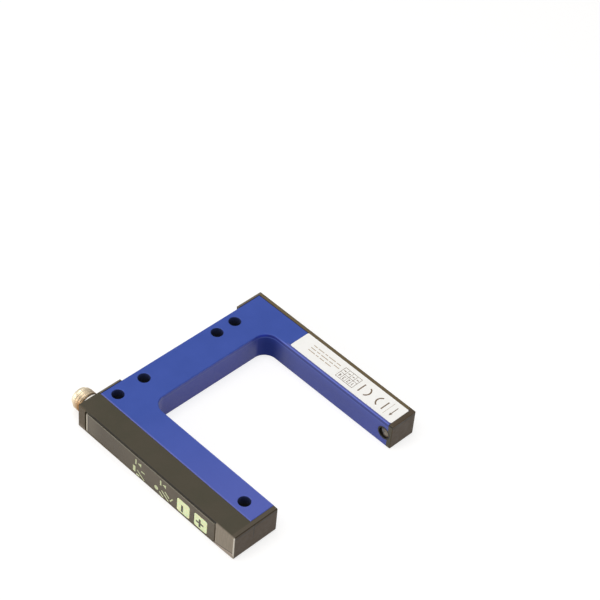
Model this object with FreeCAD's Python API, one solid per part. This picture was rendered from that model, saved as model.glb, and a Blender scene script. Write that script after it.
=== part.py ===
import FreeCAD, Part
import os
from FreeCAD import Vector

# Fork light sensor: a metal U with a 50 mm opening, a moulded control cover with two setting keys
# on one leg, a slim moulded cover on the other, and a round M8 plug connector at the back.
# Millimetres. The origin lies on the underside, midway between the two outer mounting holes of the
# bridge. +X runs across the fork from the control leg to the beam leg, +Y to the back, +Z up from
# the underside. The legs reach out towards -Y.

# Metal fork
fork_opening = 50.0
thickness = 10.0
bridge_depth = 13.6
leg_reach = 55.4            # from the bridge's inner edge to the metal's front ends
control_leg_width = 9.85     # metal only
beam_leg_width = 9.4        # metal only
inner_corner_r = 4.7
metal_edge_chamfer = 0.25

# Mounting holes for M4 screws
hole_d = 4.1
outer_hole_span = 50.4
left_inner_hole_pitch = 10.9
right_inner_hole_pitch = 7.9
hole_to_back = 3.8          # hole centre to the metal's back face
hole_to_opening = 5.75       # left hole centre to the control leg's inner wall
leg_hole_reach = 58.2       # from the left bridge hole to the hole near the tip
hole_chamfer = 0.2

# Moulded covers
control_cover_depth = 8.2   # outside the metal, along X
beam_cover_wall = 1.4
tip_cap_wall = 1.7
rear_lip = 0.95
rear_lip_overlap = 9.0      # how far the control cover's lip runs behind the metal
side_wall = 0.9             # under and over the control cover's cavity
panel_wall = 1.2            # behind the control panel
end_wall = 1.5
control_top_edge_r = 0.5
control_low_edge_r = 0.7
beam_top_edge_r = 0.3
beam_low_edge_r = 0.4
cover_corner_r = 0.35
bevel_height_tip = 2.9      # bevel under the outer side of the control cover's tip block
bevel_depth_tip = 0.45
bevel_height_panel = 1.2    # it runs out towards the panel
bevel_depth_panel = 0.1
rim_height = 0.9            # rims that locate the covers in the metal
control_rim_wall = 0.45
beam_rim_wall = 0.8
pocket_end_wall = 5.0       # metal left at both ends of the pockets
fit_gap = 0.1               # between a piece and the pocket that it drops into

# Rooms inside the control cover
board_end_ledge = 1.6
board_top_ledge = 0.6
rear_block = 3.2            # solid plastic round the connector, from the cover's rear face

# Control panel, let into the control cover's outer face
panel_length = 59.6
panel_height = 8.15
panel_low = 0.75            # above the underside
panel_rear_setback = 3.6   # from the cover's rear face
panel_thickness = 0.9
panel_sink = 0.12           # panel's face below the cover's face
panel_front_corner_r = 0.9
panel_rear_corner_r = 0.5
panel_edge_r = 0.3
panel_gap = 0.4
panel_top_gap = 0.7

# Keys
key_length = 5.7
key_height = 5.5
key_corner_r = 0.75
key_edge_r = 0.2
key_gap = 0.1
key_low = 0.3               # bottom of the keys above the panel's lower edge
key_pitch = 7.8
key_to_panel_front = 6.2    # plus key's centre to the panel's front end
key_ear = 0.45              # how far the retaining ears stand out at both ends
key_ear_thickness = 0.5
key_proud = 0.08            # above the panel's face
key_travel = 0.25
key_free_play = 0.05        # between a pressed key and its switch
key_stem_d = 2.0

# Optics at the leg tips
lens_to_tip = 3.25           # light's axis to the tip cap's face
lens_axis_z = 5.0
barrel_d = 5.05
barrel_gap = 0.05
barrel_bore_d = 2.6
lens_d = 4.0
lens_gap = 0.05
lens_sink = 0.35
lens_thickness = 1.3
lens_crown = 0.35

# Electronics
board_thickness = 0.8
board_gap = 0.15
board_step = 5.2           # control cover's outer face to the main board
switch_size = 3.9
switch_height = 1.1
switch_button_d = 2.2
switch_button_height = 0.35
status_led_size = 1.6
status_led_height = 0.8
status_led_z = 4.8
status_led_pitch = 11.6
status_led_to_key = 15.1    # nearer status light to the minus key's centre
guide_d = 1.5
guide_collar_d = 2.3
guide_collar_length = 0.6
guide_gap = 0.05
chip_size = 5.0
chip_height = 0.9
chip_to_board_rear = 14.0   # middle of the controller chip
driver_length = 4.0
driver_width = 3.0
driver_height = 0.8
driver_to_board_rear = 22.0
diode_d = 2.6
diode_length = 1.4
duct_d = 2.5
duct_to_opening = 3.3       # duct's axis to the bridge's inner edge
lead_d = 1.6

# Channel for the emitter board in the beam leg
channel_wall = 3.0          # metal left on the leg's inner side
channel_height = 6.4
channel_part_room = 2.2
channel_part_height = 4.8

# M8 plug connector
connector_to_face = 5.6     # axis to the control cover's outer face
connector_axis_z = 5.15
thread_d = 7.95
thread_length = 3.7
collar_d = 7.5
collar_length = 1.0
groove_d = 7.0
groove_width = 0.45
nose_d = 6.7
nose_length = 1.0
socket_d = 6.0
socket_floor = 0.9          # inner end of the socket, from the cover's rear face
spigot_d = 4.3
spigot_gap = 0.03
insert_d = 3.6
insert_disc = 0.8
insert_tail = 0.3
pin_d = 0.66
pin_gap = 0.02
pin_pitch_x = 2.1
pin_pitch_z = 1.8
pin_setback = 1.2           # pin tips below the connector's open end
pin_tail = 2.0
seal_d = 0.34               # section of the sealing ring

# Type plate on the beam leg
label_length = 45.6
label_thickness = 0.12
label_inset = 1.0           # from the leg's inner edge
label_corner_r = 0.6
label_recess_gap = 0.05     # round the plate, and between its face and the metal's top face

# Places worked out from the sizes above
mid_z = thickness / 2
left_hole_x = -outer_hole_span / 2
right_hole_x = outer_hole_span / 2
opening_left_x = left_hole_x + hole_to_opening
opening_right_x = opening_left_x + fork_opening
control_joint_x = opening_left_x - control_leg_width
control_face_x = control_joint_x - control_cover_depth
control_lip_x = control_joint_x + rear_lip_overlap
beam_joint_x = opening_right_x + beam_leg_width
beam_face_x = beam_joint_x + beam_cover_wall
back_y = hole_to_back
rear_y = back_y + rear_lip
bridge_y = back_y - bridge_depth
metal_tip_y = bridge_y - leg_reach
tip_y = metal_tip_y - tip_cap_wall
hole_places = [
    (left_hole_x, 0),
    (left_hole_x + left_inner_hole_pitch, 0),
    (right_hole_x - right_inner_hole_pitch, 0),
    (right_hole_x, 0),
    (left_hole_x, -leg_hole_reach),
]
lens_y = tip_y + lens_to_tip
duct_y = bridge_y + duct_to_opening
pocket_front_y = metal_tip_y + pocket_end_wall
pocket_rear_y = back_y - pocket_end_wall

panel_face_x = control_face_x + panel_sink
panel_back_x = panel_face_x + panel_thickness
panel_inner_x = panel_back_x + panel_wall
panel_rear_y = rear_y - panel_rear_setback
panel_front_y = panel_rear_y - panel_length
panel_high = panel_low + panel_height
plus_key_y = panel_front_y + key_to_panel_front
minus_key_y = plus_key_y + key_pitch
key_z = panel_low + key_low + key_height / 2

board_x = control_face_x + board_step
board_back_x = board_x + board_thickness
room_front_y = tip_y + end_wall
room_rear_y = rear_y - rear_block
room_low_z = side_wall
room_high_z = thickness - side_wall
board_front_y = room_front_y + board_gap
board_rear_y = room_rear_y - insert_tail - board_gap
switch_top_x = board_x - switch_height
switch_button_x = switch_top_x - switch_button_height
key_stem_x = switch_button_x - key_free_play - key_travel
status_led_y = minus_key_y + status_led_to_key

channel_x = opening_right_x + channel_wall
emitter_board_x = channel_x + channel_part_room
connector_x = control_face_x + connector_to_face
past = 1.0                  # how far a cutter runs beyond the face that it cuts

X, Y, Z = Vector(1, 0, 0), Vector(0, 1, 0), Vector(0, 0, 1)


def box(x0, x1, y0, y1, z0, z1):
    """Block between two corners."""
    return Part.makeBox(x1 - x0, y1 - y0, z1 - z0, Vector(x0, y0, z0))


def rod_x(diameter, x0, x1, y, z):
    """Cylinder along X."""
    return Part.makeCylinder(diameter / 2, x1 - x0, Vector(x0, y, z), X)


def rod_y(diameter, y0, y1, x, z):
    """Cylinder along Y."""
    return Part.makeCylinder(diameter / 2, y1 - y0, Vector(x, y0, z), Y)


def near(value, target):
    """Whether two places agree within a micron."""
    return abs(value - target) < 1e-3


def straight_edges(shape, direction):
    """Straight edges that run along a direction."""
    lines = [e for e in shape.Edges if isinstance(e.Curve, Part.Line)]
    return [e for e in lines if abs(e.tangentAt(e.FirstParameter).dot(direction)) > 0.999]


def rounded(block, direction, radius):
    """Block with its four edges along a direction rounded."""
    return block.makeFillet(radius, straight_edges(block, direction))


def prism(points):
    """Upright prism over the full thickness from a plan outline."""
    corners = [Vector(x, y, 0) for x, y in points]
    return Part.Face(Part.makePolygon(corners + corners[:1])).extrude(Z * thickness)


def turned(profile):
    """Solid turned about the connector's axis; the profile's points are (radius, distance behind
    the cover's rear face)."""
    corners = [Vector(connector_x + r, rear_y + d, connector_axis_z) for r, d in profile]
    face = Part.Face(Part.makePolygon(corners + corners[:1]))
    return face.revolve(Vector(connector_x, 0, connector_axis_z), Y, 360)


def one(shape):
    """The single solid that a piece must be."""
    solids = shape.removeSplitter().Solids
    if len(solids) != 1:
        raise ValueError("a piece fell into %d solids" % len(solids))
    return solids[0]


def soften_cover(cover, top_edge_r, low_edge_r, joint_edges, corner_places):
    """Round a cover's outer upright corners, then its outer top and bottom edges."""
    corners = [
        e for e in straight_edges(cover, Z)
        if any(near(e.CenterOfMass.x, x) and near(e.CenterOfMass.y, y) for x, y in corner_places)
    ]
    cover = cover.makeFillet(cover_corner_r, corners)
    for z, radius in ((thickness, top_edge_r), (0, low_edge_r)):
        rims = [e for e in cover.Edges if near(e.BoundBox.ZMin, z) and near(e.BoundBox.ZMax, z)]
        cover = cover.makeFillet(radius, [e for e in rims if not joint_edges(e.CenterOfMass)])
    return cover


def tip_bevel():
    """Cutter for the bevel under the outer side of the control cover's tip block."""
    sections = []
    for y, height, depth in ((tip_y - past, bevel_height_tip, bevel_depth_tip),
                             (panel_front_y, bevel_height_panel, bevel_depth_panel)):
        sections.append(Part.makePolygon([
            Vector(control_face_x, y, height), Vector(control_face_x + depth, y, 0),
            Vector(control_face_x + depth, y, -past), Vector(control_face_x - past, y, -past),
            Vector(control_face_x - past, y, height), Vector(control_face_x, y, height)]))
    return Part.makeLoft(sections, True, True)


def lens_barrel(x0, x1, mouth_x):
    """Tube along X at a leg's tip with a wide seat for the lens at its mouth."""
    tube = rod_x(barrel_d, x0, x1, lens_y, lens_axis_z)
    bore = rod_x(barrel_bore_d, x0 - past, x1 + past, lens_y, lens_axis_z)
    depth = lens_sink + lens_thickness
    inward = 1 if near(mouth_x, x0) else -1
    ends = sorted((mouth_x - inward * past, mouth_x + inward * depth))
    seat = rod_x(lens_d + 2 * lens_gap, ends[0], ends[1], lens_y, lens_axis_z)
    return tube, bore.fuse(seat)


def control_pocket(gap):
    """Shallow pocket in the control leg for the cover's rim, made smaller all round by a gap."""
    inset = side_wall - control_rim_wall + gap
    depth = rim_height + fit_gap - gap
    return box(control_joint_x, control_joint_x + depth,
               pocket_front_y + gap, pocket_rear_y - gap, inset, thickness - inset)


def beam_channel_mouth(x0, x1, gap):
    """Wide part of the beam leg's channel, made smaller all round by a gap."""
    half = channel_height / 2 - gap
    return box(x0, x1, metal_tip_y + gap, pocket_rear_y - gap, mid_z - half, mid_z + half)


def label_plate(gap, depth):
    """Type plate's outline on the beam leg, out to the metal's tip and outer side, made larger all
    round by a gap, down to a depth."""
    plate = box(opening_right_x + label_inset - gap, beam_joint_x + gap,
                metal_tip_y - gap, metal_tip_y + label_length + gap, thickness - depth, thickness)
    return rounded(plate, Z, label_corner_r + gap)


def fork_frame():
    """Metal U with mounting holes, lens notches, wiring duct, the pockets for the boards and a
    shallow recess for the type plate."""
    body = box(control_joint_x, beam_joint_x, metal_tip_y, back_y, 0, thickness)
    slot = box(opening_left_x, opening_right_x, metal_tip_y - past, bridge_y, -past, thickness + past)
    inner = [e for e in straight_edges(slot, Z) if near(e.CenterOfMass.y, bridge_y)]
    body = body.cut(slot.makeFillet(inner_corner_r, inner))
    rims = [e for e in body.Edges if near(e.CenterOfMass.z, 0) or near(e.CenterOfMass.z, thickness)]
    body = body.makeChamfer(metal_edge_chamfer, rims)

    mouth_r = hole_d / 2 + hole_chamfer
    for x, y in hole_places:
        body = body.cut(Part.makeCylinder(hole_d / 2, thickness, Vector(x, y, 0)))
        body = body.cut(Part.makeCone(mouth_r, hole_d / 2, hole_chamfer, Vector(x, y, 0)))
        top = Vector(x, y, thickness)
        body = body.cut(Part.makeCone(mouth_r, hole_d / 2, hole_chamfer, top, -Z))

    notch_d = barrel_d + 2 * barrel_gap
    low_half = channel_part_height / 2
    cuts = [
        rod_x(notch_d, control_joint_x, opening_left_x, lens_y, lens_axis_z),
        rod_x(notch_d, opening_right_x, beam_joint_x, lens_y, lens_axis_z),
        rod_x(duct_d, control_joint_x, channel_x + past, duct_y, mid_z),
        control_pocket(0),
        beam_channel_mouth(emitter_board_x, beam_joint_x, 0),
        box(channel_x, emitter_board_x, lens_y, pocket_rear_y, mid_z - low_half, mid_z + low_half),
        label_plate(label_recess_gap, label_thickness + label_recess_gap),
    ]
    for cut in cuts:
        body = body.cut(cut)
    return one(body)


def key_window(y):
    """Opening for a key through the panel and the wall behind it."""
    return rounded(
        box(control_face_x - past, panel_inner_x + past,
            y - key_length / 2 - key_gap, y + key_length / 2 + key_gap,
            key_z - key_height / 2 - key_gap, key_z + key_height / 2 + key_gap),
        X, key_corner_r + key_gap)


def panel_block(x0, x1, gap, top_gap):
    """Block with the panel's outline, its front corners rounder than its rear ones, made larger by
    one gap at the top and by another at the other sides."""
    block = box(x0, x1, panel_front_y - gap, panel_rear_y + gap, panel_low - gap, panel_high + top_gap)
    for y, radius in ((panel_front_y - gap, panel_front_corner_r),
                      (panel_rear_y + gap, panel_rear_corner_r)):
        corners = [e for e in straight_edges(block, X) if near(e.CenterOfMass.y, y)]
        block = block.makeFillet(radius + gap, corners)
    return block


def control_cover():
    """Moulded housing of the control leg: outer wall, tip cap, rear lip, board room and barrel."""
    cover = prism([
        (control_face_x, tip_y), (opening_left_x, tip_y), (opening_left_x, metal_tip_y),
        (control_joint_x, metal_tip_y), (control_joint_x, back_y), (control_lip_x, back_y),
        (control_lip_x, rear_y), (control_face_x, rear_y),
    ])
    cover = soften_cover(
        cover, control_top_edge_r, control_low_edge_r,
        lambda c: near(c.x, control_joint_x) or near(c.y, metal_tip_y) or near(c.y, back_y),
        [(control_face_x, tip_y), (control_face_x, rear_y), (opening_left_x, tip_y)])

    barrel, barrel_bore = lens_barrel(control_joint_x, opening_left_x, opening_left_x)
    rim = control_pocket(fit_gap)
    cover = cover.fuse(barrel).fuse(rim)

    recess = panel_block(control_face_x - past, panel_back_x, panel_gap, panel_top_gap)
    rim_low = side_wall + fit_gap
    board_room = box(board_x, control_joint_x, room_front_y, room_rear_y, room_low_z, room_high_z)
    rim_room = box(board_x, control_joint_x + rim_height + past,
                   pocket_front_y + fit_gap + control_rim_wall,
                   pocket_rear_y - fit_gap - control_rim_wall,
                   rim_low, thickness - rim_low)
    key_room = box(panel_inner_x, board_x, room_front_y + board_end_ledge,
                   room_rear_y - board_end_ledge, room_low_z, room_high_z - board_top_ledge)
    spigot_bore = rod_y(spigot_d + 2 * spigot_gap, room_rear_y - board_end_ledge - past,
                        rear_y + past, connector_x, connector_axis_z)
    cuts = [recess, board_room, rim_room, key_room, barrel_bore, spigot_bore, tip_bevel()]
    cuts += [key_window(y) for y in (minus_key_y, plus_key_y)]
    for y in status_led_places():
        cuts.append(rod_x(guide_d + 2 * guide_gap, panel_back_x - past, panel_inner_x + past,
                          y, status_led_z))
    for cut in cuts:
        cover = cover.cut(cut)
    return one(cover)


def beam_cover():
    """Slim moulded cover of the beam leg: outer wall, tip cap, rear lip, locating rim and barrel."""
    cover = prism([
        (opening_right_x, tip_y), (beam_face_x, tip_y), (beam_face_x, rear_y),
        (opening_right_x, rear_y), (opening_right_x, back_y), (beam_joint_x, back_y),
        (beam_joint_x, metal_tip_y), (opening_right_x, metal_tip_y),
    ])
    cover = soften_cover(
        cover, beam_top_edge_r, beam_low_edge_r,
        lambda c: near(c.x, beam_joint_x) or near(c.y, metal_tip_y) or near(c.y, back_y),
        [(beam_face_x, tip_y), (beam_face_x, rear_y), (opening_right_x, tip_y)])
    barrel, barrel_bore = lens_barrel(opening_right_x, channel_x, opening_right_x)
    inner_x = beam_joint_x - rim_height
    rim = beam_channel_mouth(inner_x, beam_joint_x, fit_gap)
    rim = rim.cut(beam_channel_mouth(inner_x, beam_joint_x, fit_gap + beam_rim_wall))
    return one(cover.fuse(barrel).fuse(rim).cut(barrel_bore))


def control_panel():
    """Glossy panel with rounded corners, a soft outer edge and a window for each key."""
    plate = panel_block(panel_face_x, panel_back_x, 0, 0)
    face_edges = [e for e in plate.Edges if near(e.BoundBox.XMax, panel_face_x)]
    plate = plate.makeFillet(panel_edge_r, face_edges)
    for y in (minus_key_y, plus_key_y):
        plate = plate.cut(key_window(y))
    return one(plate)


def key(y):
    """Key with a soft face, two retaining ears behind the wall and a stem for its switch."""
    z0, z1 = key_z - key_height / 2, key_z + key_height / 2
    face_x = panel_face_x - key_proud
    ear_x = panel_inner_x + key_ear_thickness
    cap = rounded(box(face_x, ear_x, y - key_length / 2, y + key_length / 2, z0, z1), X, key_corner_r)
    cap = cap.makeFillet(key_edge_r, [e for e in cap.Edges if near(e.BoundBox.XMax, face_x)])
    half = key_length / 2 + key_ear
    ears = box(panel_inner_x, ear_x, y - half, y + half, z0 + key_corner_r, z1 - key_corner_r)
    stem = rod_x(key_stem_d, ear_x, key_stem_x, y, key_z)
    return one(cap.fuse(ears).fuse(stem))


def key_switch(y):
    """Short-travel switch under a key, its round button towards the key."""
    half = switch_size / 2
    body = box(switch_top_x, board_x, y - half, y + half, key_z - half, key_z + half)
    button = rod_x(switch_button_d, switch_button_x, switch_top_x, y, key_z)
    return one(body.fuse(button))


def status_led_places():
    """Places along the leg of the two status lights."""
    return [status_led_y, status_led_y + status_led_pitch]


def status_led(y):
    """Surface-mounted light on the main board."""
    half = status_led_size / 2
    return box(board_x - status_led_height, board_x, y - half, y + half,
               status_led_z - half, status_led_z + half)


def light_guide(y):
    """Clear rod from a status light to the panel's back, with a collar behind the wall."""
    end_x = board_x - status_led_height - guide_gap
    guide = rod_x(guide_d, panel_back_x, end_x, y, status_led_z)
    collar = rod_x(guide_collar_d, panel_inner_x, panel_inner_x + guide_collar_length, y, status_led_z)
    return one(guide.fuse(collar))


def lens(mouth_x, outward):
    """Plano-convex lens, its crown towards the opening."""
    flat_x = mouth_x - outward * (lens_sink + lens_thickness)
    rim_x = flat_x + outward * (lens_thickness - lens_crown)
    top_x = flat_x + outward * lens_thickness
    r = lens_d / 2
    centre = Vector(flat_x, lens_y, lens_axis_z)
    rim_base = centre + Y * r
    rim = Vector(rim_x, lens_y + r, lens_axis_z)
    top = Vector(top_x, lens_y, lens_axis_z)
    bow = (lens_crown ** 2 + r ** 2) / (2 * lens_crown)
    middle = Vector(top_x - outward * (bow - (bow ** 2 - (r / 2) ** 2) ** 0.5),
                    lens_y + r / 2, lens_axis_z)
    outline = Part.Wire([
        Part.makeLine(centre, rim_base),
        Part.makeLine(rim_base, rim),
        Part.Arc(rim, middle, top).toShape(),
        Part.makeLine(top, centre),
    ])
    return one(Part.Face(outline).revolve(centre, X, 360))


def main_board():
    """Circuit board of the control leg, held between the cover's ledges and the metal."""
    return box(board_x, board_back_x, board_front_y, board_rear_y,
               room_low_z + board_gap, room_high_z - board_gap)


def emitter_board():
    """Circuit board in the beam leg's channel."""
    board = beam_channel_mouth(emitter_board_x, emitter_board_x + board_thickness, board_gap)
    return one(board)


def chip(length, width, height, to_rear):
    """Flat component on the main board's inner face."""
    y = board_rear_y - to_rear
    return box(board_back_x, board_back_x + height, y - length / 2, y + length / 2,
               mid_z - width / 2, mid_z + width / 2)


def diode(x0, x1):
    """Round optical component on the light's axis."""
    return rod_x(diode_d, x0, x1, lens_y, lens_axis_z)


def connector_shell():
    """Turned M8 plug body: spigot, collar, groove for the sealing ring, thread and socket."""
    groove_end = collar_length + groove_width
    thread_end = groove_end + thread_length
    seat_r = insert_d / 2 + spigot_gap
    return one(turned([
        (seat_r, -rear_block), (spigot_d / 2, -rear_block), (spigot_d / 2, 0),
        (collar_d / 2, 0), (collar_d / 2, collar_length),
        (groove_d / 2, collar_length), (groove_d / 2, groove_end),
        (thread_d / 2, groove_end), (thread_d / 2, thread_end),
        (nose_d / 2, thread_end + nose_length), (socket_d / 2, thread_end + nose_length),
        (socket_d / 2, socket_floor), (seat_r, socket_floor),
    ]))


def pin_places():
    """Centres of the four contact pins."""
    return [
        (connector_x + sx * pin_pitch_x / 2, connector_axis_z + sz * pin_pitch_z / 2)
        for sx in (-1, 1) for sz in (-1, 1)
    ]


def connector_insert():
    """Plastic contact carrier seated in the connector shell."""
    disc_r = socket_d / 2 - spigot_gap
    insert = turned([
        (0, -rear_block - insert_tail), (insert_d / 2, -rear_block - insert_tail),
        (insert_d / 2, socket_floor), (disc_r, socket_floor),
        (disc_r, socket_floor + insert_disc), (0, socket_floor + insert_disc),
    ])
    for x, z in pin_places():
        insert = insert.cut(rod_y(pin_d + 2 * pin_gap, room_rear_y - past, rear_y + thickness, x, z))
    return one(insert)


def connector_pins():
    """Four contact pins with rounded tips, their tails either side of the main board's end."""
    end_y = rear_y + collar_length + groove_width + thread_length + nose_length - pin_setback
    start_y = room_rear_y - insert_tail - pin_tail
    pins = []
    for x, z in pin_places():
        pin = rod_y(pin_d, start_y, end_y, x, z)
        tip = [e for e in pin.Edges if near(e.BoundBox.YMin, end_y)]
        pins.append(pin.makeFillet(pin_d / 4, tip))
    return Part.makeCompound(pins)


def connector_seal():
    """Rubber ring in the groove between the connector's collar and its thread."""
    centre = Vector(connector_x, rear_y + collar_length + groove_width / 2, connector_axis_z)
    return Part.makeTorus(groove_d / 2 + seal_d / 2, seal_d / 2, centre, Y)


def rating_label():
    """Thin plate with rounded corners in the beam leg's recess, just below its top face."""
    plate = label_plate(0, label_thickness + label_recess_gap)
    return plate.cut(label_plate(past, label_recess_gap))


def bridge_lead():
    """Jacketed lead through the bridge from the main board to the emitter board."""
    return rod_x(lead_d, board_back_x, emitter_board_x, duct_y, mid_z)


pieces = {
    "fork_frame": fork_frame(),
    "control_cover": control_cover(),
    "beam_cover": beam_cover(),
    "control_panel": control_panel(),
    "minus_key": key(minus_key_y),
    "plus_key": key(plus_key_y),
    "minus_switch": key_switch(minus_key_y),
    "plus_switch": key_switch(plus_key_y),
    "main_board": main_board(),
    "controller_chip": chip(chip_size, chip_size, chip_height, chip_to_board_rear),
    "driver_chip": chip(driver_length, driver_width, driver_height, driver_to_board_rear),
    "receiver_diode": diode(board_back_x, board_back_x + diode_length),
    "receiver_lens": lens(opening_left_x, 1),
    "emitter_board": emitter_board(),
    "emitter_led": diode(emitter_board_x - diode_length, emitter_board_x),
    "emitter_lens": lens(opening_right_x, -1),
    "bridge_lead": bridge_lead(),
    "connector_shell": connector_shell(),
    "connector_insert": connector_insert(),
    "connector_pins": connector_pins(),
    "connector_seal": connector_seal(),
    "rating_label": rating_label(),
}
for name, y in zip(("ready", "output"), status_led_places()):
    pieces[name + "_led"] = status_led(y)
    pieces[name + "_light_guide"] = light_guide(y)

os.makedirs("parts", exist_ok=True)
for name, shape in pieces.items():
    shape.exportStep("parts/%s.step" % name)
    print("%-20s %9.2f mm3  %d solid(s)  valid %s"
          % (name, shape.Volume, len(shape.Solids), shape.isValid()))
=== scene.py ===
import math

import bmesh
import bpy
from mathutils import Matrix, Vector


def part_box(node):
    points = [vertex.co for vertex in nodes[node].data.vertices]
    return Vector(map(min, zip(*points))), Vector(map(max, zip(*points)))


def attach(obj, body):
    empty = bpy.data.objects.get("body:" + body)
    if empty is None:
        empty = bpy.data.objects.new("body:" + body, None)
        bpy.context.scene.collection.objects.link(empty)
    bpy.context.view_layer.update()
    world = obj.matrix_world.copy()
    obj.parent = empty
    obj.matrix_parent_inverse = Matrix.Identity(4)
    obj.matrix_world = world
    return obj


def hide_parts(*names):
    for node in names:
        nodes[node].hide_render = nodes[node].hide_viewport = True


# Looks for the fork light sensor. Metres, in the CAD model's frame: +Z up from the underside, the legs
# reach out towards -Y, the control leg with its keys lies at -X and the beam leg at +X.

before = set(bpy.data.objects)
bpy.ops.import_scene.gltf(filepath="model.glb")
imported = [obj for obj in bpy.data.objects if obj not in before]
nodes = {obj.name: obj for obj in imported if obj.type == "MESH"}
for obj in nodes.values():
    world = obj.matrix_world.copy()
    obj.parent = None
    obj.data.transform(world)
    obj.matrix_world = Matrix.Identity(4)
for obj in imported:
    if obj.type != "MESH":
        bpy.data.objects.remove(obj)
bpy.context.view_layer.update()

MM = 0.001

# Camera: the photograph's viewpoint, fitted to the sensor's straight edges
CAMERA_PLACE = Vector((-0.313198, -0.328638, 0.475513))
CAMERA_RIGHT = Vector((0.712795, -0.697713, 0.071554))
CAMERA_UP = Vector((0.449209, 0.532492, 0.717401))
CAMERA_BACK = Vector((-0.538642, -0.479216, 0.692976))
CAMERA_LENS_MM = 121.009
CAMERA_SENSOR_MM = 36.0
CAMERA_CLIP = (0.01, 20.0)

# Mounting holes: centres in X and Y, and a radius just past the holes' walls
BORE_PLACES_MM = ((-25.2, 0.0), (-14.3, 0.0), (17.3, 0.0), (25.2, 0.0), (-25.2, -58.2))
BORE_RADIUS_MM = 2.11

# Centre of the lens barrels, in Y and Z
LENS_AXIS_MM = (-63.65, 5.0)

# Prints: thickness, and for each surface the directions across, up and out of it
PRINT_THICKNESS_MM = 0.015
SIDE_DIRECTIONS = ((0, -1, 0), (0, 0, 1), (-1, 0, 0))
LABEL_DIRECTIONS = ((0, 1, 0), (-1, 0, 0), (0, 0, 1))

# Plug connector
REAR_FACE_MM = 4.75
THREAD_PITCH_MM = 1.0
THREAD_CREST_MM = 3.975
THREAD_DEPTH_MM = 0.32
THREAD_FLAT = 0.14          # share of the pitch that is flat at crest and root
THREAD_RUN_OUT_MM = 0.35
THREAD_STEPS = 90
PLUG_SEGMENTS = 128
SHARP_ANGLE = math.radians(50)

# Stage
FLOOR_SIZE = 6.0
FLOOR_DROP = 0.00002        # keeps the floor just under the part's underside
FLOOR_GLOW = 0.66           # for the camera and mirrors only
WORLD_LIGHT = 0.26
WORLD_MIRRORED = 0.5        # share of the white background that gloss shows
LAMP_TARGET = Vector((0, -0.03, 0))
LAMPS = (
    # name, place, size across and up, watts, colour
    ("overhead", (-0.12, -0.05, 0.9), (0.8, 0.8), 6.1, (1, 1, 1)),
    ("rear_left", (-0.72, 0.42, 0.32), (0.5, 0.4), 2.0, (1.0, 0.97, 0.92)),
    ("low_left", (-0.85, -0.10, 0.05), (0.6, 0.06), 2.5, (1.0, 0.97, 0.93)),
    ("front", (-0.20, -0.85, 0.20), (0.4, 0.3), 0.8, (1.0, 0.90, 0.78)),
)


def add_camera():
    """Camera at the photograph's viewpoint."""
    data = bpy.data.cameras.new("photo_camera")
    data.lens = CAMERA_LENS_MM
    data.sensor_width = CAMERA_SENSOR_MM
    data.clip_start, data.clip_end = CAMERA_CLIP
    camera = bpy.data.objects.new("photo_camera", data)
    bpy.context.collection.objects.link(camera)
    axes = Matrix((CAMERA_RIGHT, CAMERA_UP, CAMERA_BACK)).transposed()
    camera.matrix_world = Matrix.Translation(CAMERA_PLACE) @ axes.to_4x4()
    bpy.context.scene.camera = camera


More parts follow.
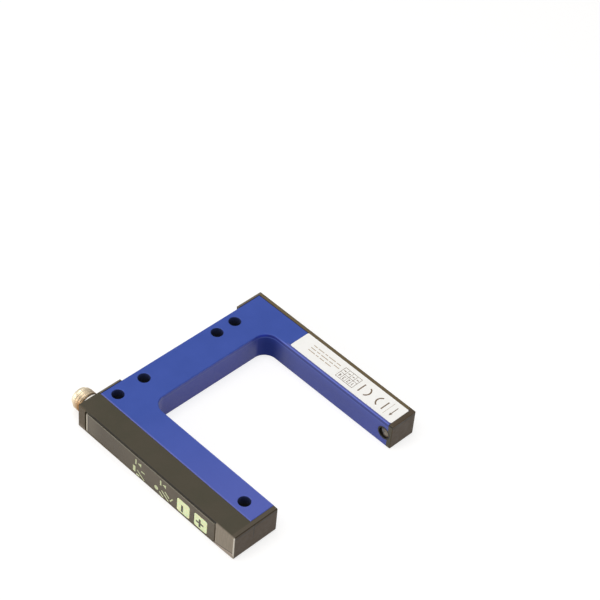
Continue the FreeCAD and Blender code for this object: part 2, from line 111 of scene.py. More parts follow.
# Shader helpers
class Shader:
    """Node graph of one material, with short calls for the nodes that the finishes share."""

    def __init__(self, name):
        self.material = bpy.data.materials.new(name)
        self.material.use_nodes = True
        self.tree = self.material.node_tree
        self.bsdf = self.tree.nodes["Principled BSDF"]
        self.output = self.tree.nodes["Material Output"]
        self.place = self.add("ShaderNodeTexCoord").outputs["Object"]

    def add(self, kind, **settings):
        item = self.tree.nodes.new(kind)
        for key, value in settings.items():
            setattr(item, key, value)
        return item

    def join(self, source, target):
        self.tree.links.new(source, target)

    def put(self, value, target):
        """Link an output to a socket, or set the socket's own number."""
        if isinstance(value, bpy.types.NodeSocket):
            self.join(value, target)
        else:
            target.default_value = value

    def math(self, operation, a, b=0.0):
        item = self.add("ShaderNodeMath", operation=operation)
        self.put(a, item.inputs[0])
        self.put(b, item.inputs[1])
        return item.outputs[0]

    def coordinate(self, axis):
        """Place along an axis in millimetres."""
        parts = self.add("ShaderNodeSeparateXYZ")
        self.join(self.place, parts.inputs[0])
        return self.math("MULTIPLY", parts.outputs[axis], 1.0 / MM)

    def noise(self, size_mm, detail=3.0, stretch=(1, 1, 1), roughness=0.55):
        """Noise whose features are about size_mm across, 0 to 1."""
        mapping = self.add("ShaderNodeMapping")
        mapping.inputs["Scale"].default_value = stretch
        self.join(self.place, mapping.inputs["Vector"])
        item = self.add("ShaderNodeTexNoise")
        item.inputs["Scale"].default_value = 1.0 / (size_mm * MM)
        item.inputs["Detail"].default_value = detail
        item.inputs["Roughness"].default_value = roughness
        self.join(mapping.outputs[0], item.inputs["Vector"])
        return item.outputs["Fac"]

    def spread(self, value, low, high, to_low, to_high):
        """Value moved from one range to another, held within it."""
        item = self.add("ShaderNodeMapRange")
        self.put(value, item.inputs["Value"])
        limits = zip(("From Min", "From Max", "To Min", "To Max"), (low, high, to_low, to_high))
        for key, number in limits:
            item.inputs[key].default_value = number
        return item.outputs["Result"]

    def above(self, value, low, high):
        """0 up to low and 1 from high on."""
        return self.spread(value, low, high, 0.0, 1.0)

    def below(self, value, low, high):
        """1 up to low and 0 from high on."""
        return self.spread(value, low, high, 1.0, 0.0)

    def band(self, value, low, high, soft):
        """1 between two values, fading to 0 over soft at both ends."""
        return self.both(self.above(value, low - soft, low + soft),
                         self.below(value, high - soft, high + soft))

    def both(self, *masks):
        """Product of masks."""
        result = masks[0]
        for mask in masks[1:]:
            result = self.math("MULTIPLY", result, mask)
        return result

    def sloped(self, along, across, start, slope):
        """Height of a place over a sloped line that starts at (along, across)."""
        run = self.math("MULTIPLY", self.math("SUBTRACT", along, start[0]), slope)
        return self.math("SUBTRACT", across, self.math("ADD", run, start[1]))

    def square_distance(self, a, b, centre):
        """Square of the distance from a centre in a plane."""
        from_a, from_b = self.math("SUBTRACT", a, centre[0]), self.math("SUBTRACT", b, centre[1])
        return self.math("ADD", self.both(from_a, from_a), self.both(from_b, from_b))

    def varied(self, low, high, size_mm, contrast=0.2, **settings):
        """Number that noise moves between low and high."""
        return self.spread(self.noise(size_mm, **settings), 0.5 - contrast, 0.5 + contrast, low, high)

    def clouds(self, size_mm, **settings):
        """Soft mask of noise, 0 to 1."""
        return self.varied(0.0, 1.0, size_mm, contrast=0.15, **settings)

    def blend(self, factor, first, second):
        """Colour between two colours."""
        item = self.add("ShaderNodeMix", data_type="RGBA")
        self.put(factor, item.inputs["Factor"])
        for value, target in ((first, item.inputs["A"]), (second, item.inputs["B"])):
            if isinstance(value, bpy.types.NodeSocket):
                self.join(value, target)
            else:
                target.default_value = (*value, 1.0)
        return item.outputs["Result"]

    def paint(self, colour, *layers):
        """Colour with layers of (mask, colour) laid over it in their order."""
        for mask, tint in layers:
            colour = self.blend(mask, colour, tint)
        return colour

    def bumps(self, *layers):
        """Fine relief: each layer is (height 0 to 1, depth in millimetres)."""
        last = None
        for height, depth_mm in layers:
            item = self.add("ShaderNodeBump")
            item.inputs["Strength"].default_value = 1.0
            item.inputs["Distance"].default_value = depth_mm * MM
            self.join(height, item.inputs["Height"])
            if last is not None:
                self.join(last, item.inputs["Normal"])
            last = item.outputs["Normal"]
        self.join(last, self.bsdf.inputs["Normal"])

    def set(self, **values):
        """Principled inputs by name, with spaces written as underscores."""
        for key, value in values.items():
            if isinstance(value, tuple):
                value = (*value, 1.0)
            self.put(value, self.bsdf.inputs[key.replace("_", " ")])


# Materials. The masks give places on the part in millimetres.
def in_bores(s, x, y):
    """1 on the walls of the five mounting holes, 0 elsewhere."""
    walls = [s.math("LESS_THAN", s.square_distance(x, y, centre), BORE_RADIUS_MM ** 2)
             for centre in BORE_PLACES_MM]
    inside = walls[0]
    for wall in walls[1:]:
        inside = s.math("MAXIMUM", inside, wall)
    return inside


def blue_coating():
    """Satin blue coating on cast metal: fine orange-peel surface, painted highlights along the edges,
    painted shade on the walls, in the far corner and in the bores.
    """
    s = Shader("blue_coating")
    x, y, z = (s.coordinate(axis) for axis in "XYZ")
    top = s.above(z, 9.70, 9.80)
    before_bridge = s.below(y, -9.9, -9.6)

    # Walls of the opening: painted shade, less blue than the top, darker low on the bridge and darkest in
    # the far corner
    walls = s.both(s.below(z, 9.70, 9.76), s.band(x, -19.6, 30.7, 0.1), before_bridge)
    wall_painted_shade = s.blend(s.above(z, 3.0, 9.0), (0.029, 0.051, 0.325), (0.029, 0.049, 0.295))
    bridge = s.both(walls, s.above(y, -11.0, -10.0))
    bridge_painted_shade = s.blend(s.above(z, 1.0, 5.0), (0.001, 0.004, 0.275), (0.001, 0.012, 0.320))
    bridge_painted_shade = s.blend(s.above(z, 5.0, 9.0), bridge_painted_shade, (0.014, 0.028, 0.365))
    # Painted shade in the far corner, where the beam leg meets the bridge
    corner = s.both(walls, s.above(y, -24.0, -13.0), s.above(x, 16.0, 29.0))

    # Painted highlight and painted shade in lines along the walls' upper edge: a pale line under a dark
    # one
    wall_lines = s.both(s.band(x, -18.0, 30.7, 0.1), before_bridge)
    painted_highlight_line = s.both(wall_lines, s.band(z, 8.30, 8.75, 0.08))
    painted_shade_line = s.both(wall_lines, s.band(z, 8.80, 9.80, 0.08))
    painted_shade_line_colour = s.blend(s.above(y, -12.0, -10.5), (0.001, 0.012, 0.180), (0.002, 0.022, 0.330))

    # Top: painted light on the control leg, paler towards the tip, and painted highlights in paler strips
    # along the legs' edges
    painted_light_to_tip = s.both(s.below(y, -62.0, -10.0), s.below(x, -19.3, -18.9))
    strip_painted_highlight = s.both(s.band(x, 30.9, 31.65, 0.04), s.below(y, -19.5, -18.0), top)
    strip_edge_painted_highlight = s.both(s.band(x, 30.62, 30.9, 0.04), s.below(y, -17.5, -15.5), top)
    cover_edge_painted_highlight = s.both(s.band(x, -29.6, -28.85, 0.08), top)
    opening_edge_painted_highlight = s.both(s.band(x, -19.85, -19.3, 0.08), s.below(y, -30.0, -15.0), top)

    # Painted shade on the walls of the bores, darker deeper down
    bores = in_bores(s, x, y)
    bore_painted_shade = s.blend(s.above(z, 6.0, 9.4), (0.001, 0.002, 0.006), (0.012, 0.024, 0.110))

    colour = s.paint(
        s.blend(s.clouds(9.0, detail=2.0), (0.024, 0.064, 0.345), (0.029, 0.071, 0.370)),
        (painted_light_to_tip, (0.066, 0.096, 0.410)),
        (walls, wall_painted_shade),
        (bridge, bridge_painted_shade),
        (corner, (0.002, 0.018, 0.190)),
        (painted_highlight_line, (0.040, 0.070, 0.330)),
        (painted_shade_line, painted_shade_line_colour),
        (strip_painted_highlight, (0.080, 0.096, 0.340)),
        (strip_edge_painted_highlight, (0.090, 0.125, 0.480)),
        (cover_edge_painted_highlight, (0.100, 0.128, 0.480)),
        (opening_edge_painted_highlight, (0.095, 0.125, 0.470)),
        (bores, bore_painted_shade))
    matte = s.math("MULTIPLY", s.math("MAXIMUM", bores, corner), 0.85)
    s.set(Base_Color=colour, Roughness=s.math("MAXIMUM", s.varied(0.36, 0.46, 0.8), matte), IOR=1.5)
    s.bumps((s.noise(0.55, detail=1.0), 0.012), (s.noise(0.09, detail=2.0), 0.0025))
    return s.material


def moulded_black():
    """Fine matte moulded plastic, olive black, with a paler tip block and rear end, and painted light and
    shade along its edges and in its hollows.
    """
    s = Shader("moulded_black")
    x, y, z = (s.coordinate(axis) for axis in "XYZ")

    # Painted shade along the upper edge of both covers, stronger towards the tips, and the tips' front
    # rim
    upper_edge_painted_shade = s.both(s.band(z, 9.45, 9.96, 0.05), s.spread(y, -3.0, 1.0, 1.0, 0.4))
    front_rim = s.both(s.below(y, -65.45, -65.2), s.above(z, 9.94, 9.98))

    # Paler tip block beside the panel: streaky, with a painted reflection on the slope below a painted
    # shadow line, and a painted highlight on the front corner
    outer_side = s.below(x, -37.45, -37.0)
    tip_block = s.both(outer_side, s.below(y, -58.95, -58.75))
    over_slope = s.sloped(y, z, (-59.4, 1.3), -0.208)
    corner_highlight_painted = s.both(s.below(y, -66.75, -66.5), s.spread(z, 1.0, 2.0, 0.3, 1.0))
    tip_block_tone_and_painted_light = s.paint(
        s.blend(s.clouds(0.5, stretch=(1, 1, 0.15)), (0.196, 0.164, 0.124), (0.240, 0.203, 0.155)),
        (s.below(over_slope, -0.1, 0.1), (0.35, 0.285, 0.23)),
        (s.band(over_slope, -0.22, 0.14, 0.08), (0.040, 0.032, 0.025)),
        (corner_highlight_painted, (0.80, 0.76, 0.67)))
    # Painted light on the outer lower edge, in the floor's shade
    foot_painted_light = s.both(s.below(x, -36.5, -36.3), s.below(z, 0.70, 0.80))

    # Rear end of the control cover's outer side: paler, with painted shade low down
    rear = s.both(outer_side, s.above(y, 1.2, 1.35))
    rear_tone_and_painted_shade = s.blend(s.below(z, 1.0, 2.2), (0.076, 0.055, 0.030), (0.165, 0.130, 0.098))

    # Beam cover, and a painted highlight along its outer upper edge
    beam = s.above(x, 31.0, 31.2)
    beam_edge_highlight = s.both(s.above(x, 39.9, 40.1), s.above(z, 9.0, 9.3), s.above(y, -65.0, -64.0))

    # Front faces of both tips, with a band of painted shade under the rim and a seam
    front = s.both(s.below(y, -66.85, -66.7), s.above(x, -37.2, -37.1))
    front_tone_and_painted_shade = s.paint(
        s.blend(s.noise(1.4, detail=3.0), (0.050, 0.031, 0.014), (0.080, 0.053, 0.030)),
        (s.band(z, 8.8, 9.5, 0.12), (0.034, 0.026, 0.017)),
        (s.both(s.band(x, -29.5, -29.1, 0.12), s.above(z, 3.5, 6.0)), (0.032, 0.024, 0.017)))

    # Painted shade in a ring round the lenses, and a painted highlight on the lip behind the bridge
    around_lens = s.below(s.square_distance(y, z, LENS_AXIS_MM), 6.2, 6.6)
    lens_ring_painted_shade = s.both(around_lens, s.band(x, -21.0, 31.6, 0.1))
    lip_highlight = s.both(s.above(y, 3.8, 4.1), s.above(z, 9.4, 9.7), s.above(x, -29.4, -29.0))

    colour = s.paint(
        s.blend(s.clouds(7.0, detail=3.0), (0.056, 0.049, 0.029), (0.064, 0.053, 0.033)),
        (upper_edge_painted_shade, (0.007, 0.005, 0.001)),
        (front_rim, (0.074, 0.059, 0.039)),
        (foot_painted_light, (0.30, 0.25, 0.19)),
        (tip_block, tip_block_tone_and_painted_light),
        (rear, rear_tone_and_painted_shade),
        (beam, (0.068, 0.048, 0.029)),
        (beam_edge_highlight, (0.125, 0.092, 0.045)),
        (front, front_tone_and_painted_shade),
        (lens_ring_painted_shade, (0.010, 0.008, 0.006)),
        (lip_highlight, (0.15, 0.125, 0.10)))
    s.set(Base_Color=colour, Roughness=s.varied(0.44, 0.54, 1.5), Specular_IOR_Level=0.3)
    s.bumps((s.noise(0.16, detail=2.0), 0.010), (s.noise(0.05, detail=1.0), 0.003))
    return s.material


def smoked_panel():
    """Glossy smoked plastic of the control panel, with painted light and shade: darker from the middle
    back, paler near the rear end, a painted dark line and a painted highlight on its rounded rear end, a
    painted highlight along its top edge, and painted shade on its top face.
    """
    s = Shader("smoked_panel")
    y, z = s.coordinate("Y"), s.coordinate("Z")
    # Painted shade from the middle back, painted light near the rear end, a painted dark line and painted
    # highlight at the rounded rear end, a painted highlight along the top edge, painted shade on the top
    # face
    colour = s.paint(
        s.blend(s.clouds(6.0, detail=2.0), (0.057, 0.038, 0.014), (0.071, 0.049, 0.021)),
        (s.above(y, -24.0, -14.0), (0.050, 0.033, 0.011)),
        (s.above(y, -6.5, -1.5), (0.090, 0.069, 0.038)),
        (s.band(y, -0.35, 0.30, 0.12), (0.060, 0.046, 0.030)),
        (s.above(y, 0.30, 0.55), (0.470, 0.425, 0.345)),
        (s.band(z, 8.50, 8.87, 0.08), (0.150, 0.135, 0.100)),
        (s.above(z, 8.87, 8.89), (0.040, 0.034, 0.024)))
    s.set(Base_Color=colour, Roughness=s.varied(0.16, 0.24, 2.5), Specular_IOR_Level=0.34)
    s.bumps((s.noise(2.2, detail=1.0), 0.004))
    return s.material


def key_green():
    """Pale green key plastic with a soft, slightly mottled surface."""
    s = Shader("key_green")
    colour = s.blend(s.varied(0.0, 1.0, 1.6), (0.72, 0.79, 0.45), (0.78, 0.85, 0.52))
    s.set(Base_Color=colour, Roughness=s.varied(0.38, 0.50, 0.6), IOR=1.47,
          Subsurface_Weight=0.15, Subsurface_Scale=0.0008)
    s.bumps((s.noise(0.25, detail=2.0), 0.008))
    return s.material


def white_film():
    """White printed film of the type plate."""
    s = Shader("white_film")
    colour = s.blend(s.varied(0.0, 1.0, 4.0), (0.945, 0.935, 0.90), (0.97, 0.96, 0.935))
    s.set(Base_Color=colour, Roughness=s.varied(0.30, 0.40, 1.0), IOR=1.46)
    s.bumps((s.noise(0.5, detail=2.0), 0.002))
    return s.material


def ink(name, dark, light):
    """Printing ink with a slightly uneven coverage."""
    s = Shader(name)
    s.set(Base_Color=s.blend(s.varied(0.0, 1.0, 0.35), dark, light), Roughness=0.42, IOR=1.48)
    s.bumps((s.noise(0.12, detail=2.0), 0.002))
    return s.material


def turned_rings(s):
    """Fine rings round the Y axis, left by turning."""
    return s.noise(0.10, detail=2.0, stretch=(0.05, 1, 0.05))


def turned_metal(name, colour, roughness):
    """Plated turned metal."""
    s = Shader(name)
    tint = s.blend(s.noise(1.3), colour, tuple(c * 0.86 for c in colour))
    rings = turned_rings(s)
    s.set(Base_Color=tint, Metallic=1.0, Roughness=s.spread(rings, 0.3, 0.7, roughness, roughness + 0.12))
    s.bumps((rings, 0.002))
    return s.material


def plug_metal():
    """Plated brass of the plug connector: creamy, with a painted highlight on the collar, a painted brown
    reflection of the cover low on the thread and painted shade where the thread begins."""
    s = Shader("plated_plug")
    y, z = s.coordinate("Y"), s.coordinate("Z")
    # Painted brown reflection of the cover, low on the thread and towards the cover
    painted_cover_reflection = s.both(s.spread(z, 6.6, 8.7, 1.0, 0.40), s.spread(y, 7.2, 10.4, 1.0, 0.10))
    # Painted highlight on the collar
    collar = s.below(y, 5.72, 5.78)
    # Between them, painted shade where the thread begins
    tint = s.paint(
        s.blend(s.noise(1.3), (0.98, 0.88, 0.68), (0.90, 0.79, 0.59)),
        (painted_cover_reflection, (0.33, 0.175, 0.065)),
        (s.band(y, 5.80, 6.60, 0.10), (0.17, 0.105, 0.05)),
        (collar, (0.98, 0.93, 0.85)))
    rings = turned_rings(s)
    s.set(Base_Color=tint, Metallic=s.spread(collar, 0.0, 1.0, 1.0, 0.3),
          Roughness=s.spread(rings, 0.3, 0.7, 0.34, 0.44))
    s.bumps((rings, 0.001))
    return s.material


def lens_dark():
    """Dark filter plastic of the lenses, with painted light on the side towards the tip and painted shade
    towards the rear, parted along a wavy line.
    """
    s = Shader("lens_dark")
    wavy_y = s.math("ADD", s.coordinate("Y"), s.varied(-1.6, 1.6, 0.9))
    colour = s.blend(s.below(wavy_y, -65.0, -62.6), (0.014, 0.011, 0.009), (0.215, 0.175, 0.130))
    s.set(Base_Color=colour, Roughness=0.12, Specular_IOR_Level=0.5)
    s.bumps((s.noise(0.8, detail=1.0), 0.002))
    return s.material


def clear_moulding():
    """Clear moulded plastic of the light guides and diodes."""
    s = Shader("clear_moulding")
    colour = s.blend(s.noise(0.8), (0.80, 0.84, 0.86), (0.88, 0.90, 0.92))
    s.set(Base_Color=colour, Roughness=0.12, IOR=1.5, Transmission_Weight=0.7)
    s.bumps((s.noise(0.5, detail=1.0), 0.003))
    return s.material


def board_green():
    """Green solder resist with a faint glass weave."""
    s = Shader("board_green")
    wave = s.add("ShaderNodeTexWave", wave_type="BANDS", bands_direction="Y")
    wave.inputs["Scale"].default_value = 1.0 / (1.2 * MM)
    s.join(s.place, wave.inputs["Vector"])
    weave = wave.outputs["Fac"]
    s.set(Base_Color=s.blend(weave, (0.012, 0.10, 0.045), (0.016, 0.125, 0.055)), Roughness=0.3)
    s.bumps((weave, 0.01))
    return s.material


def plain_dark(name, colour, roughness, grain_mm):
    """Small dark moulded parts and rubber."""
    s = Shader(name)
    shade = s.blend(s.noise(grain_mm * 6), colour, tuple(c * 1.35 for c in colour))
    s.set(Base_Color=shade, Roughness=s.varied(roughness, roughness + 0.1, grain_mm * 3))
    s.bumps((s.noise(grain_mm, detail=2.0), 0.006))
    return s.material


# Outlines in a plane, in millimetres
def bar(a, b, width):
    """Straight stroke."""
    a, b = Vector(a), Vector(b)
    side = (b - a).normalized().orthogonal() * width / 2
    return [a - side, b - side, b + side, a + side]


def disc(centre, radius, count=24):
    centre = Vector(centre)
    turn = 2 * math.pi / count
    return [centre + radius * Vector((math.cos(i * turn), math.sin(i * turn))) for i in range(count)]


def rectangle(x0, y0, x1, y1):
    return [Vector(p) for p in ((x0, y0), (x1, y0), (x1, y1), (x0, y1))]


def arrow_head(x, y):
    """Small solid arrow head whose point lies at (x, y), with its body at higher x."""
    return [Vector((x, y)), Vector((x + 1.5, y - 0.75)), Vector((x + 1.5, y + 0.75))]


def arc(centre, radius, width, start, end, count=24):
    """Pieces of a bent stroke, angles in degrees."""
    centre = Vector(centre)
    inner, outer = radius - width / 2, radius + width / 2
    pieces = []
    for i in range(count):
        corners = []
        for step, r in ((i, inner), (i, outer), (i + 1, outer), (i + 1, inner)):
            angle = math.radians(start + (end - start) * step / count)
            corners.append(centre + r * Vector((math.cos(angle), math.sin(angle))))
        pieces.append(corners)
    return pieces


def frame_lines(x0, y0, x1, y1, width):
    """The four strokes of a rectangle."""
    return [bar((x0, y0), (x1, y0), width), bar((x1, y0), (x1, y1), width),
            bar((x1, y1), (x0, y1), width), bar((x0, y1), (x0, y0), width)]


# Strokes of plain numbers on a field 1 wide and 2 high
NUMBER_STROKES = {
    "1": [((0.25, 1.55), (0.6, 2.0)), ((0.6, 2.0), (0.6, 0.0))],
    "2": [((0.0, 1.6), (0.3, 2.0)), ((0.3, 2.0), (0.8, 1.95)), ((0.8, 1.95), (0.95, 1.45)),
          ((0.95, 1.45), (0.0, 0.0)), ((0.0, 0.0), (1.0, 0.0))],
    "3": [((0.0, 2.0), (0.95, 2.0)), ((0.95, 2.0), (0.45, 1.2)), ((0.45, 1.2), (0.95, 0.8)),
          ((0.95, 0.8), (0.8, 0.1)), ((0.8, 0.1), (0.0, 0.1))],
    "4": [((0.75, 0.0), (0.75, 2.0)), ((0.75, 2.0), (0.0, 0.6)), ((0.0, 0.6), (1.0, 0.6))],
}


def number(text, corner, height, width):
    """Strokes of a plain number with its lower left corner at a place."""
    corner = Vector(corner)
    scale = height / 2
    return [bar(corner + Vector(a) * scale, corner + Vector(b) * scale, width)
            for a, b in NUMBER_STROKES[text]]


# Mesh helpers
def link_piece(name, work, material, body):
    """Object from a mesh in work, on a body of the part."""
    bmesh.ops.recalc_face_normals(work, faces=work.faces)
    mesh = bpy.data.meshes.new(name)
    work.to_mesh(mesh)
    work.free()
    mesh.materials.append(material)
    piece = bpy.data.objects.new(name, mesh)
    bpy.context.collection.objects.link(piece)
    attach(piece, body)
    return piece


def print_piece(name, outlines, origin, directions, material, body):
    """Thin raised print: flat outlines laid on a surface, as one mesh."""
    across, up, out = (Vector(direction) for direction in directions)
    work = bmesh.new()
    for outline in outlines:
        face = work.faces.new([work.verts.new(origin + (across * p.x + up * p.y) * MM) for p in outline])
        risen = bmesh.ops.extrude_face_region(work, geom=[face])
        top = [v for v in risen["geom"] if isinstance(v, bmesh.types.BMVert)]
        bmesh.ops.translate(work, verts=top, vec=out * PRINT_THICKNESS_MM * MM)
    return link_piece(name, work, material, body)


def revolve(name, rows, centre, material, body):
    """Surface round the Y axis: rows of (distance along Y, radius or function of the angle)."""
    work = bmesh.new()
    rings = []
    for along, radius in rows:
        ring = []
        for i in range(PLUG_SEGMENTS):
            angle = 2 * math.pi * i / PLUG_SEGMENTS
            r = radius(angle) if callable(radius) else radius
            place = Vector((r * math.cos(angle), along, r * math.sin(angle)))
            ring.append(work.verts.new(centre + place * MM))
        rings.append(ring)
    for first, second in zip(rings, rings[1:]):
        for i in range(PLUG_SEGMENTS):
            j = (i + 1) % PLUG_SEGMENTS
            work.faces.new((first[i], first[j], second[j], second[i])).smooth = True
    piece = link_piece(name, work, material, body)
    piece.data.set_sharp_from_angle(angle=SHARP_ANGLE)
    return piece


# Finishes of the CAD nodes
FINISHES = (
    (blue_coating(), ["fork_frame"]),
    (moulded_black(), ["control_cover", "beam_cover"]),
    (smoked_panel(), ["control_panel"]),
    (key_green(), ["minus_key", "plus_key"]),
    (white_film(), ["rating_label"]),
    (lens_dark(), ["emitter_lens", "receiver_lens"]),
    (clear_moulding(), ["ready_light_guide", "output_light_guide", "receiver_diode", "emitter_led",
                        "ready_led", "output_led"]),
    (board_green(), ["main_board", "emitter_board"]),
    (plain_dark("chip_case", (0.02, 0.02, 0.02), 0.45, 0.1),
     ["controller_chip", "driver_chip", "minus_switch", "plus_switch"]),
    (plain_dark("contact_carrier", (0.018, 0.018, 0.018), 0.5, 0.1), ["connector_insert", "bridge_lead"]),
    (plain_dark("seal_rubber", (0.03, 0.024, 0.018), 0.55, 0.08), ["connector_seal"]),
    (turned_metal("contact_gold", (0.95, 0.72, 0.32), 0.14), ["connector_pins"]),
    (turned_metal("plated_brass", (0.94, 0.82, 0.62), 0.30), ["connector_shell"]),
)
for finish, names in FINISHES:
    for name in names:
        for holder in nodes[name].material_slots:
            holder.material = finish

print_brown = ink("print_brown", (0.150, 0.095, 0.052), (0.200, 0.135, 0.080))
print_grey = ink("print_grey", (0.42, 0.34, 0.25), (0.55, 0.46, 0.35))
print_green = ink("print_green", (0.48, 0.53, 0.30), (0.58, 0.63, 0.37))
key_mark = ink("key_mark", (0.040, 0.033, 0.019), (0.056, 0.046, 0.028))


# Print on the keys and the panel. Across runs towards the tip, up is +Z, seen from -X.
def key_print(key, outlines):
    """Mark on a key, from the middle of its face."""
    low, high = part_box(key)
    middle = Vector((low.x, (low.y + high.y) / 2, (low.z + high.z) / 2))
    print_piece(key + "_mark", outlines, middle, SIDE_DIRECTIONS, key_mark, key)


def panel_marks():
    """Marks of the two status lights, from the frame's origin: an arrow at a stroke over a switch sign,
    and an arrow at a stroke over a lamp with rays."""
    switch_sign = [rectangle(21.4, 1.6, 22.5, 4.1), bar((23.3, 3.1), (26.6, 0.8), 0.40),
                   bar((22.9, 1.05), (24.4, 1.05), 0.7), bar((25.2, 4.0), (26.7, 4.0), 0.45)]
    lamp_sign = [disc((32.2, 2.7), 0.85), bar((33.6, 2.15), (35.4, 0.85), 0.55),
                 bar((34.6, 3.40), (37.8, 1.09), 0.50), bar((36.1, 4.00), (38.1, 2.56), 0.50),
                 bar((38.5, 1.8), (39.7, 3.6), 0.42)]
    return [bar((22.67, 5.3), (22.67, 7.5), 0.5), arrow_head(23.6, 6.4), *switch_sign,
            bar((34.1, 5.4), (34.1, 7.5), 0.6), arrow_head(35.0, 6.4), *lamp_sign]


key_print("minus_key", [bar((-0.4, -2.0), (-0.4, 0.9), 0.9)])
key_print("plus_key", [bar((-0.3, -2.0), (-0.3, 1.5), 0.85), bar((-2.0, -0.25), (-0.725, -0.25), 0.75),
                       bar((0.125, -0.25), (1.4, -0.25), 0.75)])
panel_face = Vector((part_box("control_panel")[0].x, 0, 0))
print_piece("panel_marks", panel_marks(), panel_face, SIDE_DIRECTIONS, print_green, "housing")


# Print on the type plate, from the plate's middle. Across runs from the tip to the rear end, up runs
# from the outer to the inner side.
def label_text_bars():
    """Rows of short plain bars in place of small print."""
    start, lowest, pitch, gap, width = 17.5, -1.6, 1.35, 0.5, 0.34
    bars = []
    for row, lengths in enumerate(((1.6, 2.6, 1.2, 3.0, 1.8), (2.2, 1.4, 3.2, 1.6, 2.4),
                                   (3.0, 1.2, 2.0, 2.6))):
        at, height = start, lowest + pitch * row
        for length in lengths:
            bars.append(bar((at - length, height), (at, height), width))
            at -= length + gap
    return bars


def label_table():
    """Terminal table with the plain numbers 1 to 4 over short bars."""
    left, right, low, middle, high, cell, line = -3.8, 3.6, -2.4, 0.1, 2.6, 1.85, 0.14
    strokes = frame_lines(left, low, right, high, 0.16)
    strokes.append(bar((left, middle), (right, middle), line))
    for i, text in enumerate("1234"):
        x = left + cell * i
        if i > 0:
            strokes.append(bar((x, low), (x, high), line))
        strokes += number(text, (x + 0.6, 0.75), 1.25, 0.2)
        strokes.append(bar((x + 0.45, -1.1), (x + 1.35, -1.1), 0.3))
    return strokes


def label_beam_sign():
    """Light barrier sign: two bows that bend towards each other, with a stroke behind each."""
    middle, radius, bow, stroke = 0.1, 2.1, 0.5, 0.45
    return [*arc((-7.4, middle), radius, bow, 115, 245), *arc((-14.9, middle), radius, bow, -65, 65),
            *(bar((x, middle - 2.0), (x, middle + 2.0), stroke) for x in (-5.9, -16.3))]


def label_arrow():
    """Thin arrow across the plate that points to the opening."""
    x = -19.9
    head = [Vector(p) for p in ((x, 1.25), (x + 0.55, 0.95), (x, 2.2), (x - 0.55, 0.95))]
    return [bar((x, -2.2), (x, 1.3), 0.30), head]


label_low, label_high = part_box("rating_label")
label_middle = (label_low + label_high) / 2
label_middle.z = label_high.z
for name, outlines, finish in (
        ("label_bars", label_text_bars(), print_grey),
        ("label_table", label_table(), print_brown),
        ("label_sign", label_beam_sign(), print_brown),
        ("label_divider", [bar((-17.9, -3.0), (-17.9, 3.0), 0.12)], print_grey),
        ("label_arrow", label_arrow(), print_brown)):
    print_piece(name, outlines, label_middle, LABEL_DIRECTIONS, finish, "housing")


# Plug connector: the turned shell with its helical thread takes the CAD shell's place
def thread_radius(along, start, end):
    """Radius of the thread's surface as a function of the angle."""
    def radius(angle):
        phase = ((along - start) / THREAD_PITCH_MM - angle / (2 * math.pi)) % 1.0
        height = 1 - abs(2 * phase - 1)
        height = min(max((height - THREAD_FLAT) / (1 - 2 * THREAD_FLAT), 0.0), 1.0)
        fade = min(1.0, (along - start) / THREAD_RUN_OUT_MM, (end - along) / THREAD_RUN_OUT_MM)
        return THREAD_CREST_MM - THREAD_DEPTH_MM * (1 - height * max(fade, 0.0))
    return radius


def connector_rows():
    """Outline of the turned shell from the spigot in the cover to the socket's floor."""
    y = REAR_FACE_MM
    thread_start, thread_end, nose_end = y + 1.45, y + 5.15, y + 6.15
    spigot = [(y - 3.2, 1.83), (y - 3.2, 2.15), (y - 0.02, 2.15)]
    collar = [(y - 0.02, 3.82), (y + 0.06, 3.88), (y + 0.95, 3.88), (y + 1.0, 3.83)]
    groove = [(y + 1.0, 3.5), (y + 1.45, 3.5)]
    thread = []
    for i in range(THREAD_STEPS + 1):
        along = thread_start + (thread_end - thread_start) * i / THREAD_STEPS
        thread.append((along, thread_radius(along, thread_start, thread_end)))
    nose = [(thread_end + 0.02, 3.35), (nose_end - 0.3, 3.35), (nose_end - 0.08, 3.27), (nose_end, 3.15)]
    socket = [(nose_end - 0.04, 3.02), (y + 0.9, 3.0), (y + 0.9, 1.83)]
    return spigot + collar + groove + thread + nose + socket


shell_low, shell_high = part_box("connector_shell")
plug_centre = Vector(((shell_low.x + shell_high.x) / 2, 0, (shell_low.z + shell_high.z) / 2))
plug = revolve("connector_plug", connector_rows(), plug_centre, plug_metal(), "housing")
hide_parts("connector_shell")


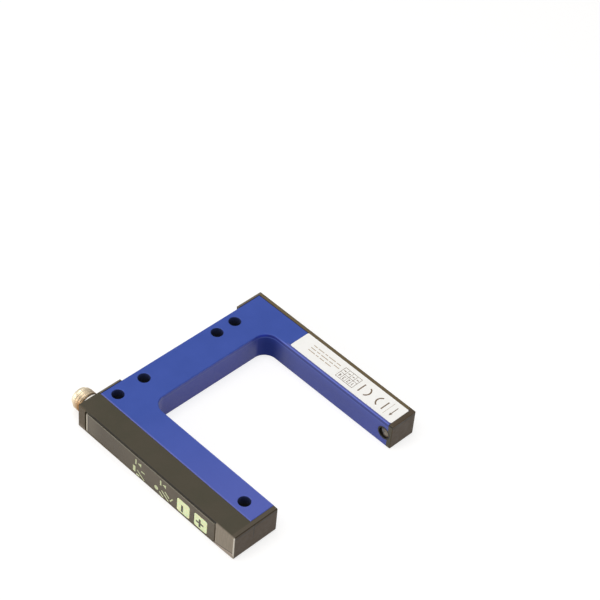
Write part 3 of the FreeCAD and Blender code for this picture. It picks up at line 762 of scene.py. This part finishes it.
# Stage: pale floor, white background for the camera and mirrors, soft lamps
def add_floor():
    """Pale floor that takes the shadow and glows white for the camera and in mirrors."""
    bpy.ops.mesh.primitive_plane_add(size=FLOOR_SIZE, location=(0, 0, -FLOOR_DROP))
    floor = bpy.context.object
    floor.name = "floor"
    s = Shader("pale_floor")
    s.set(Base_Color=(0.42, 0.415, 0.41), Roughness=0.8, Specular_IOR_Level=0.0)
    rays = s.add("ShaderNodeLightPath").outputs
    seen = s.math("MAXIMUM", rays["Is Camera Ray"], rays["Is Glossy Ray"])
    seen = s.math("MAXIMUM", seen, rays["Is Transmission Ray"])
    glow = s.add("ShaderNodeEmission")
    glow.inputs["Color"].default_value = (1, 1, 1, 1)
    s.join(s.math("MULTIPLY", seen, FLOOR_GLOW), glow.inputs["Strength"])
    total = s.add("ShaderNodeAddShader")
    s.join(s.bsdf.outputs[0], total.inputs[0])
    s.join(glow.outputs[0], total.inputs[1])
    s.join(total.outputs[0], s.output.inputs["Surface"])
    floor.data.materials.append(s.material)


def add_world():
    """White background for the camera, less bright in gloss and as light."""
    world = bpy.data.worlds.new("studio")
    bpy.context.scene.world = world
    world.use_nodes = True
    tree = world.node_tree
    background = tree.nodes["Background"]
    background.inputs["Color"].default_value = (1, 1, 1, 1)
    rays = tree.nodes.new("ShaderNodeLightPath").outputs
    mirrored = tree.nodes.new("ShaderNodeMath")
    mirrored.operation = "MULTIPLY"
    mirrored.inputs[1].default_value = WORLD_MIRRORED
    seen = tree.nodes.new("ShaderNodeMath")
    seen.operation = "MAXIMUM"
    strength = tree.nodes.new("ShaderNodeMapRange")
    strength.inputs["To Min"].default_value = WORLD_LIGHT
    strength.inputs["To Max"].default_value = 1.0
    for source, target in ((rays["Is Glossy Ray"], mirrored.inputs[0]),
                           (rays["Is Camera Ray"], seen.inputs[0]),
                           (mirrored.outputs[0], seen.inputs[1]),
                           (seen.outputs[0], strength.inputs["Value"]),
                           (strength.outputs["Result"], background.inputs["Strength"])):
        tree.links.new(source, target)


def add_lamp(name, place, size, power, colour):
    """Soft lamp that shines at the sensor."""
    data = bpy.data.lights.new(name, "AREA")
    data.shape = "RECTANGLE"
    data.size, data.size_y = size
    data.energy = power
    data.color = colour
    lamp = bpy.data.objects.new(name, data)
    bpy.context.collection.objects.link(lamp)
    lamp.location = place
    lamp.rotation_euler = (LAMP_TARGET - Vector(place)).to_track_quat("-Z", "Y").to_euler()


add_camera()
add_floor()
add_world()
for lamp in LAMPS:
    add_lamp(*lamp)

bpy.context.scene.view_settings.view_transform = "Standard"
